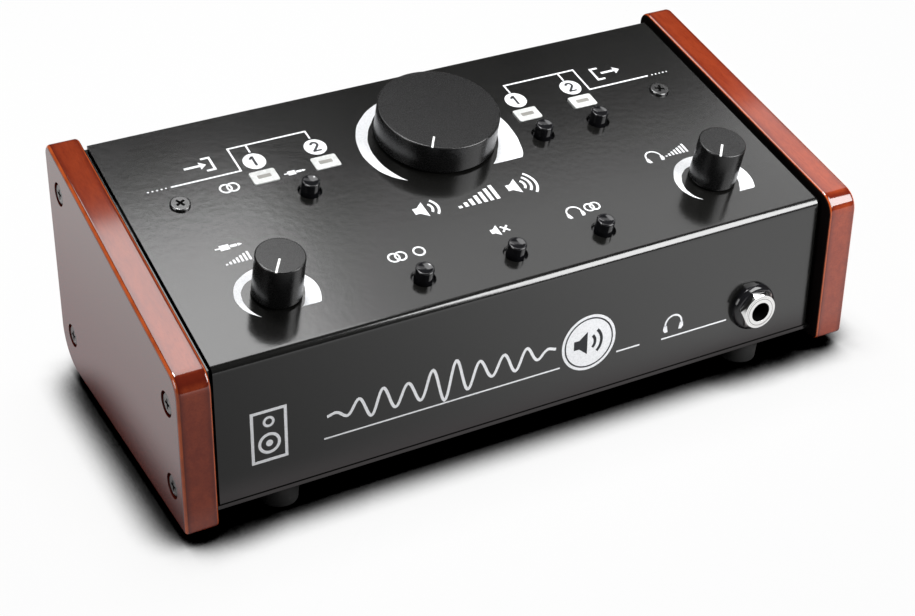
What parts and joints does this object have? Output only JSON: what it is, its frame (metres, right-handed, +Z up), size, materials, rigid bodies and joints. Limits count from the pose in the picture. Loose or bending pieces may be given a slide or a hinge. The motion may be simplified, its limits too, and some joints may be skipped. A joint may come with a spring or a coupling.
{
  "type": "studio monitor controller",
  "caption": "Desktop audio controller with sloped metal panel between wooden cheeks, large volume knob, small knobs, push buttons, front phones jack and rear connectors.",
  "frame": {"origin": "on the table, at the feet's undersides, under the middle of the overall width and depth", "axes": "+X to the right along the panel, +Y from the front face to the rear connectors, +Z up"},
  "size_m": [0.235, 0.1125, 0.0888],
  "materials": {
    "black_paint": "satin powder coat",
    "mahogany": "gloss lacquer",
    "screw_steel": "zinc plated",
    "black_screw": "black oxide",
    "steel": "plain",
    "board": "solder resist",
    "ribbon": "matte",
    "switch": "matte",
    "light": "clear tinted",
    "jack_plastic": "moulded",
    "gloss_black": "glossy",
    "chrome": "polished",
    "connector_plastic": "moulded",
    "rubber": "matte",
    "knob_black": "fine matte",
    "shaft": "turned",
    "pot_metal": "die cast",
    "window_white": "translucent"
  },
  "bodies": {
    "housing": {"aux_pot": "pot_metal", "base_tray": "black_paint", "board_screws": "screw_steel", "board_standoffs": "steel", "cheek_screws": "screw_steel", "connector_screws": "black_screw", "cover_screws": "black_screw", "foot_screws": "screw_steel", "front_left_foot": "rubber", "front_right_foot": "rubber", "indicator_lights": "light", "input_1_window": "window_white", "input_2_window": "window_white", "input_connector_1": "connector_plastic", "input_connector_2": "connector_plastic", "left_cheek": "mahogany", "main_board": "board", "output_1_window": "window_white", "output_2_window": "window_white", "output_connector_1": "connector_plastic", "output_connector_2": "connector_plastic", "output_connector_3": "connector_plastic", "output_connector_4": "connector_plastic", "phones_jack": "jack_plastic", "phones_jack_collar": "gloss_black", "phones_jack_nut": "chrome", "phones_pot": "pot_metal", "phono_sockets": "connector_plastic", "pot_nuts": "steel", "pot_washers": "steel", "power_inlet": "connector_plastic", "power_switch_frame": "connector_plastic", "rear_board": "board", "rear_left_foot": "rubber", "rear_right_foot": "rubber", "ribbon_cable": "ribbon", "right_cheek": "mahogany", "switch_bodies": "switch", "top_cover": "black_paint", "volume_pot": "pot_metal"},
    "volume_control": {"volume_knob": "knob_black", "volume_shaft": "shaft"},
    "aux_control": {"aux_knob": "knob_black", "aux_shaft": "shaft"},
    "phones_control": {"phones_knob": "knob_black", "phones_shaft": "shaft"},
    "input_select_push": {"input_select_button": "gloss_black", "input_select_plunger": "switch"},
    "output_1_push": {"output_1_button": "gloss_black", "output_1_plunger": "switch"},
    "output_2_push": {"output_2_button": "gloss_black", "output_2_plunger": "switch"},
    "mono_push": {"mono_button": "gloss_black", "mono_plunger": "switch"},
    "mute_push": {"mute_button": "gloss_black", "mute_plunger": "switch"},
    "cue_push": {"cue_button": "gloss_black", "cue_plunger": "switch"},
    "power_toggle": {"power_rocker": "gloss_black"}
  },
  "joints": [
    {"name": "volume_turn", "type": "hinge", "parent": "housing", "child": "volume_control", "pos_m": [0.0028, 0.01677, 0.07348], "axis": [0, 0.2588, -0.9659], "range_deg": [0, 290]},
    {"name": "aux_turn", "type": "hinge", "parent": "housing", "child": "aux_control", "pos_m": [-0.0757, -0.03066, 0.06077], "axis": [0, 0.2588, -0.9659], "range_deg": [0, 290]},
    {"name": "phones_turn", "type": "hinge", "parent": "housing", "child": "phones_control", "pos_m": [0.0787, -0.03066, 0.06077], "axis": [0, 0.2588, -0.9659], "range_deg": [0, 290]},
    {"name": "input_select_press", "type": "slide", "parent": "housing", "child": "input_select_push", "axis": [0, 0.2588, -0.9659], "range_m": [0, 0.0025], "stiffness_N_per_m": 300, "springref_m": -0.0015},
    {"name": "output_1_press", "type": "slide", "parent": "housing", "child": "output_1_push", "axis": [0, 0.2588, -0.9659], "range_m": [0, 0.0025], "stiffness_N_per_m": 300, "springref_m": -0.0015},
    {"name": "output_2_press", "type": "slide", "parent": "housing", "child": "output_2_push", "axis": [0, 0.2588, -0.9659], "range_m": [0, 0.0025], "stiffness_N_per_m": 300, "springref_m": -0.0015},
    {"name": "mono_press", "type": "slide", "parent": "housing", "child": "mono_push", "axis": [0, 0.2588, -0.9659], "range_m": [0, 0.0025], "stiffness_N_per_m": 300, "springref_m": -0.0015},
    {"name": "mute_press", "type": "slide", "parent": "housing", "child": "mute_push", "axis": [0, 0.2588, -0.9659], "range_m": [0, 0.0025], "stiffness_N_per_m": 300, "springref_m": -0.0015},
    {"name": "cue_press", "type": "slide", "parent": "housing", "child": "cue_push", "axis": [0, 0.2588, -0.9659], "range_m": [0, 0.0025], "stiffness_N_per_m": 300, "springref_m": -0.0015},
    {"name": "power_tip", "type": "hinge", "parent": "housing", "child": "power_toggle", "pos_m": [-0.068, 0.04331, 0.0547], "axis": [-1, 0, 0], "range_deg": [0, 16]}
  ]
}
